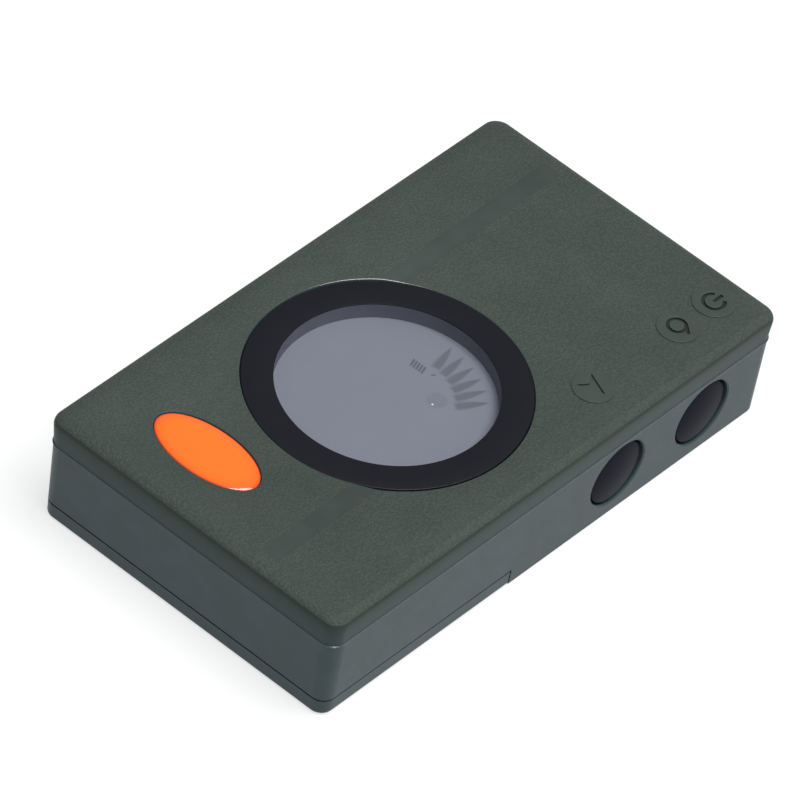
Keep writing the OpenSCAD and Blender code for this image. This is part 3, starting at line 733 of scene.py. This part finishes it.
def build_key(name, node, body):
    """Key turned about its own axis: stem, flange, and a cap with a shallow dome and a round edge."""
    low, high = mm_box(node)
    length = high.x - low.x
    flange_r = (high.y - low.y) / 2
    shoulder = length - KEY_DOME_R + math.sqrt(KEY_DOME_R ** 2 - KEY_R ** 2)
    flange_top = FLANGE + FLANGE_T
    profile = [(0, 0), (STEM_R - CHAMFER, 0), (STEM_R, CHAMFER), (STEM_R, FLANGE)]
    profile += [(flange_r - CHAMFER, FLANGE), (flange_r, FLANGE + CHAMFER)]
    profile += [(flange_r, flange_top - CHAMFER), (flange_r - CHAMFER, flange_top), (KEY_R, flange_top)]
    profile += arc(KEY_R - KEY_EDGE, shoulder - KEY_EDGE + 0.05, KEY_EDGE, 0, 78, 6)
    dome_steps = 8
    dome_edge = (KEY_R - KEY_EDGE) * 0.93
    for k in range(dome_steps, -1, -1):
        r = dome_edge * k / dome_steps
        profile.append((r, length - KEY_DOME_R + math.sqrt(KEY_DOME_R ** 2 - r ** 2)))
    bm = lathe(profile, 128)
    bmesh.ops.rotate(bm, verts=bm.verts, matrix=Matrix.Rotation(math.radians(90), 3, "Y"))
    bmesh.ops.translate(bm, verts=bm.verts, vec=(low.x, (low.y + high.y) / 2, (low.z + high.z) / 2))
    add_piece(name, bm, [key_mat], body, [node], 50)


build_key("bearing_key_cap", "bearing_key", "bearing_button")
build_key("power_key_cap", "power_key", "power_button")


# ---- cells and springs ----

jacket = Nodes("cell_jacket")
jacket_mat = jacket.set(color=mottled(jacket, (0.02, 0.022, 0.026), 400, 0.1), metal=0.3, rough=0.3, coat=0.5,
                        normal=jacket.bump(jacket.noise(900, 2), 0.05, 0.03))
band_jacket = Nodes("cell_jacket_band")
band_jacket_mat = band_jacket.set(color=mottled(band_jacket, (0.6, 0.27, 0.1), 400, 0.06), metal=0.8,
                                  rough=0.3, coat=0.5)
CELL_R = 5.2
CELL_EDGE = 0.5
BUTTON_L = 0.9
BUTTON_R = 1.8
BUTTON_EDGE = 0.3
STEEL_R = 4.15
BAND_END = 13.0
GROOVE = 0.15


def build_cell(name, node, positive_near):
    """Cell turned about its own axis: button, insulating ring, jacket with a plain band, flat end."""
    low, high = mm_box(node)
    length = high.y - low.y
    profile = [(0, 0), (BUTTON_R - BUTTON_EDGE, 0)]
    profile += arc(BUTTON_R - BUTTON_EDGE, BUTTON_EDGE, BUTTON_EDGE, -90, 0, 4)
    profile += [(BUTTON_R, BUTTON_L - 0.1), (2.2, BUTTON_L), (3.6, BUTTON_L)]
    profile += [(3.7, BUTTON_L + GROOVE), (4.1, BUTTON_L + GROOVE), (4.2, BUTTON_L)]
    profile += arc(CELL_R - CELL_EDGE, BUTTON_L + CELL_EDGE, CELL_EDGE, -90, 0, 5)
    profile += [(CELL_R, BAND_END), (CELL_R, BAND_END + 0.05), (CELL_R, length - CELL_EDGE)]
    profile += arc(CELL_R - CELL_EDGE, length - CELL_EDGE, CELL_EDGE, 0, 90, 5)
    profile += [(4.0, length), (3.8, length - GROOVE), (0, length - GROOVE)]
    bm = lathe(profile, 64)
    for f in bm.faces:
        c = f.calc_center_median()
        if math.hypot(c.x, c.y) < STEEL_R:
            f.material_index = 2
        elif c.z < BAND_END + 0.02:
            f.material_index = 1
    turn = -90 if positive_near else 90
    bmesh.ops.rotate(bm, verts=bm.verts, matrix=Matrix.Rotation(math.radians(turn), 3, "X"))
    button_y = low.y if positive_near else high.y
    bmesh.ops.translate(bm, verts=bm.verts, vec=((low.x + high.x) / 2, button_y, (low.z + high.z) / 2))
    add_piece(name, bm, [jacket_mat, band_jacket_mat, steel_mat], "case", [node], 50)


build_cell("left_cell_jacket", "left_cell", True)
build_cell("right_cell_jacket", "right_cell", False)

WIRE_R = 0.3
SPRING_TURNS = 4
WIDE_R = 3.6
NARROW_R = 2.0


def build_spring(name, node, wide_near):
    """Conical coil along Y, wide end on the case."""
    low, high = mm_box(node)
    length = high.y - low.y - 2 * WIRE_R
    x = CELL_X if low.x > 0 else -CELL_X
    bm = bmesh.new()
    steps = 200
    sides = 12
    turns = [2 * math.pi * k / sides for k in range(sides)]
    rings = []
    for i in range(steps + 1):
        t = i / steps
        a = 2 * math.pi * SPRING_TURNS * t
        r = WIDE_R + (NARROW_R - WIDE_R) * t
        along = WIRE_R + length * t
        y = low.y + along if wide_near else high.y - along
        sx = math.cos(a) if wide_near else -math.cos(a)
        out = Vector((sx, 0, math.sin(a)))
        centre = Vector((x, y, CELL_Z)) + out * r
        points = [centre + WIRE_R * (out * math.cos(b) + Vector((0, math.sin(b), 0))) for b in turns]
        rings.append([bm.verts.new(p) for p in points])
    for a, b in zip(rings, rings[1:]):
        bridge(bm, a, b)
    bm.faces.new(rings[0])
    bm.faces.new(rings[-1])
    add_piece(name, bm, [steel_mat], "case", [node], 60)


cell_low, cell_high = mm_box("right_cell")
CELL_X = (cell_low.x + cell_high.x) / 2
CELL_Z = (cell_low.z + cell_high.z) / 2
build_spring("left_coil", "left_spring", False)
build_spring("right_coil", "right_spring", True)


# ---- floor, light and camera ----

bm = bmesh.new()
FLOOR_HALF_M = 3.0
FLOOR_GAP_M = 0.00002
corners = [(-FLOOR_HALF_M, -FLOOR_HALF_M), (FLOOR_HALF_M, -FLOOR_HALF_M)]
corners += [(FLOOR_HALF_M, FLOOR_HALF_M), (-FLOOR_HALF_M, FLOOR_HALF_M)]
bm.faces.new(ring(bm, corners, 0))
mesh = bpy.data.meshes.new("floor")
bm.to_mesh(mesh)
bm.free()
floor = bpy.data.objects.new("floor", mesh)
floor.location.z = -FLOOR_GAP_M
bpy.context.scene.collection.objects.link(floor)
n = Nodes("pale_floor")
pale = n.ramp(n.noise(3, 2), [(0.3, (0.24, 0.24, 0.24)), (0.7, (0.25, 0.25, 0.25))])
mesh.materials.append(n.set(color=pale, rough=0.9, spec=0.0))
n.shader.inputs["Emission Color"].default_value = (1, 1, 1, 1)
n.shader.inputs["Emission Strength"].default_value = 0.7


def softbox(name, position, size, power, color=(1, 1, 1)):
    """Square soft light that faces the object. Lengths in metres."""
    target = Vector((0, 0, 0.01))
    data = bpy.data.lights.new(name, "AREA")
    data.shape = "SQUARE"
    data.size = size
    data.energy = power
    data.color = color
    lamp = bpy.data.objects.new(name, data)
    lamp.location = position
    lamp.rotation_mode = "QUATERNION"
    lamp.rotation_quaternion = (target - Vector(position)).to_track_quat("-Z", "Y")
    bpy.context.scene.collection.objects.link(lamp)


softbox("overhead", (0.32, 0.02, 1.1), 0.7, 17.0)
softbox("right_fill", (1.0, 0.75, 0.6), 0.5, 1.0, (0.93, 0.97, 1.0))

world = bpy.data.worlds.new("studio")
world.use_nodes = True
world.node_tree.nodes["Background"].inputs["Color"].default_value = (0.92, 0.96, 1.0, 1)
world.node_tree.nodes["Background"].inputs["Strength"].default_value = 0.3
scene = bpy.context.scene
scene.world = world
scene.view_settings.view_transform = "Standard"

camera_data = bpy.data.cameras.new("camera")
camera_data.sensor_width = 36
camera_data.lens = 420.8
camera_data.clip_start = 0.1
camera_data.clip_end = 20
camera = bpy.data.objects.new("camera", camera_data)
right = Vector((0.73834, 0.66311, 0.12301))
down = Vector((0.53342, -0.46257, -0.70816))
forward = Vector((-0.41269, 0.58848, -0.69525))
place = Matrix((right, -down, -forward)).transposed().to_4x4()
place.translation = Vector((621.53, -889.84, 1062.58)) * MM
camera.matrix_world = place
scene.collection.objects.link(camera)
scene.camera = camera
